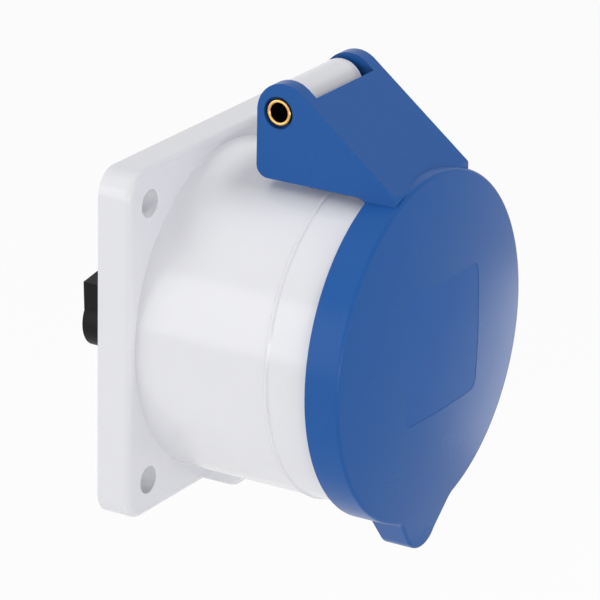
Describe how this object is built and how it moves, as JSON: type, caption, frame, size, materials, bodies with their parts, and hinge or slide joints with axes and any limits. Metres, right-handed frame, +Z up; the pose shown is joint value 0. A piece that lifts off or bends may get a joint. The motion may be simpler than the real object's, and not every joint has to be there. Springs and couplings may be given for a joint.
{
  "type": "industrial panel socket",
  "caption": "Panel socket for a round industrial plug: square flange, round shroud, sleeve contacts in a core and a spring-loaded hinged lid.",
  "frame": {"origin": "centre of the flange's back face, on the axis of the shroud", "axes": "+Y into the panel, -Y towards the lid and the user, +Z up towards the hinge, +X right as seen from the front"},
  "size_m": [0.07, 0.0679, 0.0927],
  "materials": {
    "white_plastic": "glossy white moulded plastic",
    "blue_plastic": "satin blue moulded plastic",
    "black_plastic": "black moulded plastic",
    "seal_rubber": "black rubber",
    "pin_brass": "bright drawn tube",
    "contact_brass": "turned brass",
    "steel": "zinc-plated steel"
  },
  "bodies": {
    "housing": {"housing": "white_plastic", "flange_seal": "seal_rubber", "lid_spring": "steel", "contact_carrier": "black_plastic", "terminal_carrier": "black_plastic", "live_contact": "contact_brass", "neutral_contact": "contact_brass", "earth_contact": "contact_brass", "live_spring_ring": "steel", "neutral_spring_ring": "steel", "earth_spring_ring": "steel", "live_terminal_screw": "steel", "neutral_terminal_screw": "steel", "earth_terminal_screw": "steel", "carrier_screws": "steel"},
    "lid": {"lid": "blue_plastic", "lid_seal": "seal_rubber", "hinge_pin": "pin_brass"}
  },
  "joints": [
    {"name": "lid_hinge", "type": "hinge", "parent": "housing", "child": "lid", "pos_m": [0, -0.0261, 0.0455], "axis": [-1, 0, 0], "range_deg": [0, 120], "stiffness_Nm_per_rad": 0.06, "springref_deg": -51.57, "deforming": ["lid_spring"]}
  ]
}
